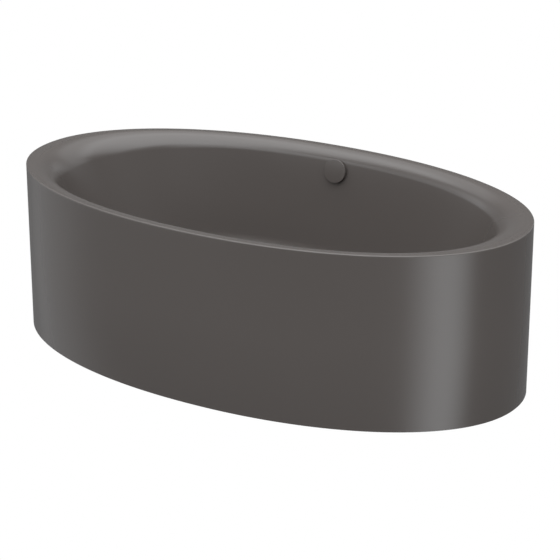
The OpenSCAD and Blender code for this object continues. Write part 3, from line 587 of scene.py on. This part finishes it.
def galvanised():
    """Zinc on steel: small crystals of slightly different grey, each with its own shine."""
    mat, nodes, links, bsdf = new_material("zinc_steel")
    coords = object_coords(nodes)
    cells = nodes.new("ShaderNodeTexVoronoi")
    cells.inputs["Scale"].default_value = 95
    links.new(coords, cells.inputs["Vector"])
    split = nodes.new("ShaderNodeSeparateColor")
    links.new(cells.outputs["Color"], split.inputs["Color"])
    cloud = noise(nodes, links, coords, scale=9, detail=5)
    grain = noise(nodes, links, coords, scale=300, detail=3)
    tone = product(nodes, links, split.outputs["Red"], cloud)
    links.new(ramp(nodes, links, tone, (0.33, 0.34, 0.36), (0.66, 0.67, 0.70)), bsdf.inputs["Base Color"])
    links.new(ramp(nodes, links, split.outputs["Green"], 0.34, 0.55), bsdf.inputs["Roughness"])
    bsdf.inputs["Metallic"].default_value = 1
    bump(nodes, links, bsdf, grain, strength=0.2, distance=0.0002)
    return mat


def primer():
    """Sprayed grey primer: matt, with a dry spray grain and thin spots."""
    mat, nodes, links, bsdf = new_material("primed_steel")
    coords = object_coords(nodes)
    cloud = noise(nodes, links, coords, scale=6, detail=6, rough=0.6)
    spray = noise(nodes, links, coords, scale=700, detail=2)
    links.new(ramp(nodes, links, cloud, (0.045, 0.047, 0.050), (0.075, 0.076, 0.079)),
              bsdf.inputs["Base Color"])
    links.new(ramp(nodes, links, spray, 0.55, 0.80), bsdf.inputs["Roughness"])
    bump(nodes, links, bsdf, spray, strength=0.35, distance=0.0002)
    return mat


def make_materials():
    """One material for each slot of the record."""
    return {
        "enamel": enamel(),
        "primed_steel": primer(),
        "zinc_steel": galvanised(),
        "stainless": machined("stainless", low=(0.52, 0.53, 0.55), high=(0.62, 0.63, 0.65),
                              rough=0.26, stretch=(900, 60, 60), relief=0.0001),
        "chrome": machined("chrome", low=(0.74, 0.75, 0.77), high=(0.82, 0.83, 0.85),
                           rough=0.10, stretch=(300, 300, 300), relief=0.00002),
        "brass": machined("brass", low=(0.60, 0.44, 0.19), high=(0.72, 0.56, 0.28),
                          rough=0.24, stretch=(60, 60, 1800), relief=0.0001),
        "rubber": moulded("rubber", low=(0.012, 0.012, 0.012), high=(0.026, 0.026, 0.025),
                          rough=0.62, grain=420, relief=0.0003),
        "cable_sheath": moulded("cable_sheath", low=(0.010, 0.010, 0.011), high=(0.020, 0.020, 0.020),
                                rough=0.45, grain=900, relief=0.0001),
        "damping_mat": moulded("damping_mat", low=(0.016, 0.015, 0.014), high=(0.035, 0.034, 0.033),
                               rough=0.70, grain=130, relief=0.0012),
        "black_plastic": moulded("black_plastic", low=(0.014, 0.014, 0.015), high=(0.024, 0.024, 0.025),
                                 rough=0.42, grain=800, relief=0.0001),
        "grey_plastic": moulded("grey_plastic", low=(0.095, 0.100, 0.108), high=(0.135, 0.142, 0.150),
                                rough=0.38, grain=650, relief=0.0001),
        "white_plastic": moulded("white_plastic", low=(0.62, 0.61, 0.58), high=(0.72, 0.71, 0.69),
                                 rough=0.34, grain=650, relief=0.0001),
        "hose_plastic": moulded("hose_plastic", low=(0.54, 0.53, 0.50), high=(0.63, 0.62, 0.59),
                                rough=0.30, grain=500, relief=0.0001),
    }


def dress(obj, mat):
    obj.data.materials.clear()
    obj.data.materials.append(mat)


# ---------------------------------------------------------------- stage


# Half the floor's width, so that its edge lies beyond every view
FLOOR_REACH = 60


def add_floor():
    """A plain floor as white as the backdrop; it neither lights nor shades the bath."""
    bm = bmesh.new()
    bmesh.ops.create_grid(bm, x_segments=1, y_segments=1, size=FLOOR_REACH)
    mesh = bpy.data.meshes.new("floor")
    bm.to_mesh(mesh)
    bm.free()
    floor = bpy.data.objects.new("floor", mesh)
    bpy.context.scene.collection.objects.link(floor)
    mat, _, _, bsdf = new_material("pale_floor")
    bsdf.inputs["Base Color"].default_value = (0, 0, 0, 1)
    bsdf.inputs["Roughness"].default_value = 1
    bsdf.inputs["Specular IOR Level"].default_value = 0
    bsdf.inputs["Emission Color"].default_value = (1, 1, 1, 1)
    bsdf.inputs["Emission Strength"].default_value = 1
    dress(floor, mat)
    floor.visible_glossy = False
    floor.visible_diffuse = False
    floor.visible_shadow = False


# The camera's azimuth is in degrees from the bath's front (-Y) towards its right (+X)
CAMERA_AZIMUTH = 31.50
CAMERA_ELEVATION = 21.13
CAMERA_DISTANCE = 6.643
CAMERA_LENS = 131.24
CAMERA_SENSOR = 36
CAMERA_TARGET = (0.0386, 0, 0.2558)


def add_camera():
    cam = bpy.data.cameras.new("camera")
    cam.sensor_width = CAMERA_SENSOR
    cam.lens = CAMERA_LENS
    obj = bpy.data.objects.new("camera", cam)
    bpy.context.scene.collection.objects.link(obj)
    a, e = math.radians(CAMERA_AZIMUTH), math.radians(CAMERA_ELEVATION)
    back = Vector((math.sin(a) * math.cos(e), -math.cos(a) * math.cos(e), math.sin(e)))
    obj.location = Vector(CAMERA_TARGET) + back * CAMERA_DISTANCE
    obj.rotation_euler = back.to_track_quat("Z", "Y").to_euler()
    bpy.context.scene.camera = obj


def calc(nodes, links, kind, *values, clamp=False):
    """A Math node on any mix of numbers and sockets."""
    node = nodes.new("ShaderNodeMath")
    node.operation = kind
    node.use_clamp = clamp
    for socket, value in zip(node.inputs, values):
        if isinstance(value, (int, float)):
            socket.default_value = value
        else:
            links.new(value, socket)
    return node.outputs[0]


def weigh(nodes, links, direction, vector):
    """How far a direction goes along a fixed vector."""
    node = nodes.new("ShaderNodeVectorMath")
    node.operation = "DOT_PRODUCT"
    node.inputs[1].default_value = vector
    links.new(direction, node.inputs[0])
    return node.outputs["Value"]


def span(nodes, links, value, low, high, soft):
    """1 between low and high, falling to 0 over a soft edge."""
    rise = calc(nodes, links, "DIVIDE", calc(nodes, links, "SUBTRACT", value, low), soft)
    fall = calc(nodes, links, "DIVIDE", calc(nodes, links, "SUBTRACT", high, value), soft)
    up = calc(nodes, links, "ADD", rise, 0.5, clamp=True)
    down = calc(nodes, links, "ADD", fall, 0.5, clamp=True)
    return calc(nodes, links, "MULTIPLY", up, down)


# A panel is only seen in directions that go at least this far towards it
GRAZING = 0.02
GRAZING_MARGIN = 0.001


def add_panel(nodes, links, direction, facing, across, wide, tall, soft, strength):
    """A far softbox as a flat panel one unit away: wide and tall are (low, high) on its face."""
    ahead = Vector(facing).normalized()
    side = Vector(across).normalized()
    up = ahead.cross(side)
    depth = calc(nodes, links, "MAXIMUM", weigh(nodes, links, direction, ahead), GRAZING)
    u = calc(nodes, links, "DIVIDE", weigh(nodes, links, direction, side), depth)
    v = calc(nodes, links, "DIVIDE", weigh(nodes, links, direction, up), depth)
    area = calc(nodes, links, "MULTIPLY", span(nodes, links, u, *wide, soft),
                span(nodes, links, v, *tall, soft))
    front = calc(nodes, links, "GREATER_THAN", depth, GRAZING + GRAZING_MARGIN)
    return calc(nodes, links, "MULTIPLY", calc(nodes, links, "MULTIPLY", area, front), strength)


def wall_panel(azimuth, half_width, low, high, soft, strength):
    """A panel on a wall of the studio: azimuth in degrees from +X towards +Y."""
    a = math.radians(azimuth)
    wide = math.tan(math.radians(half_width))
    return ((math.cos(a), math.sin(a), 0), (-math.sin(a), math.cos(a), 0),
            (-wide, wide), (low, high), soft, strength)


def roof_panel(right, away, soft, strength):
    """A panel overhead, in line with the camera: its spans to the camera's right and away from it."""
    a = math.radians(CAMERA_AZIMUTH)
    return (0, 0, 1), (math.cos(a), math.sin(a), 0), right, away, soft, strength


PANELS = {
    "roof": roof_panel(right=(-1.3, 1.4), away=(-1.4, 0.5), soft=0.5, strength=1.9),
    "roof_core": roof_panel(right=(-0.9, 0.7), away=(-1.5, 0.2), soft=0.6, strength=1.3),
    "roof_front": roof_panel(right=(-3.0, -0.2), away=(-3.2, -1.2), soft=0.6, strength=1.9),
    "roof_back": roof_panel(right=(-1.5, 3.4), away=(0.2, 1.3), soft=0.25, strength=1.0),
    "side_strip": wall_panel(azimuth=-29, half_width=16, low=-1.3, high=-0.05,
                             soft=0.36, strength=2.75),
    "left_wall": wall_panel(azimuth=215, half_width=40, low=-0.2, high=0.5,
                            soft=0.2, strength=0.95),
    "back_left_wall": wall_panel(azimuth=180, half_width=20, low=-1.2, high=0.45,
                                 soft=0.30, strength=0.32),
    "back_right_wall": wall_panel(azimuth=75, half_width=25, low=-0.15, high=0.45,
                                  soft=0.2, strength=0.45),
}
AMBIENT = 0.228
STUDIO_TINT = (0.955, 0.978, 1.0, 1)


def add_world():
    """White to the camera; to everything else, an even studio glow with softboxes round it."""
    world = bpy.data.worlds.new("studio")
    world.use_nodes = True
    nodes, links = world.node_tree.nodes, world.node_tree.links
    back = nodes["Background"]
    back.inputs["Color"].default_value = STUDIO_TINT
    direction = nodes.new("ShaderNodeTexCoord").outputs["Generated"]
    total = AMBIENT
    for panel in PANELS.values():
        total = calc(nodes, links, "ADD", add_panel(nodes, links, direction, *panel), total)
    links.new(total, back.inputs["Strength"])
    white = nodes.new("ShaderNodeBackground")
    white.inputs["Color"].default_value = (1, 1, 1, 1)
    path = nodes.new("ShaderNodeLightPath")
    pick = nodes.new("ShaderNodeMixShader")
    links.new(path.outputs["Is Camera Ray"], pick.inputs[0])
    links.new(back.outputs[0], pick.inputs[1])
    links.new(white.outputs[0], pick.inputs[2])
    links.new(pick.outputs[0], nodes["World Output"].inputs["Surface"])
    bpy.context.scene.world = world


bpy.context.scene.view_settings.view_transform = "Standard"
add_camera()
add_floor()
add_world()

MATERIALS = make_materials()
SLOT_OF = {row["node"]: row["material_slot"] for row in frame["record"]["subparts"]}
for node, obj in frame["nodes"].items():
    dress(obj, MATERIALS[SLOT_OF[node]])

# piece, the CAD node that it stands for, the body that it rides on
PIECES = [
    (make_shell(), "bath_shell", "bath"),
    (make_skirt(), "skirt", "bath"),
    (make_knob(), "overflow_knob", "knob"),
    (make_plug(), "drain_plug", "plug"),
    (make_hose(), "overflow_hose", "bath"),
]
for piece, node, body in PIECES:
    dress(piece, MATERIALS[SLOT_OF[node]])
    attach(piece, body)
    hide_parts(node)
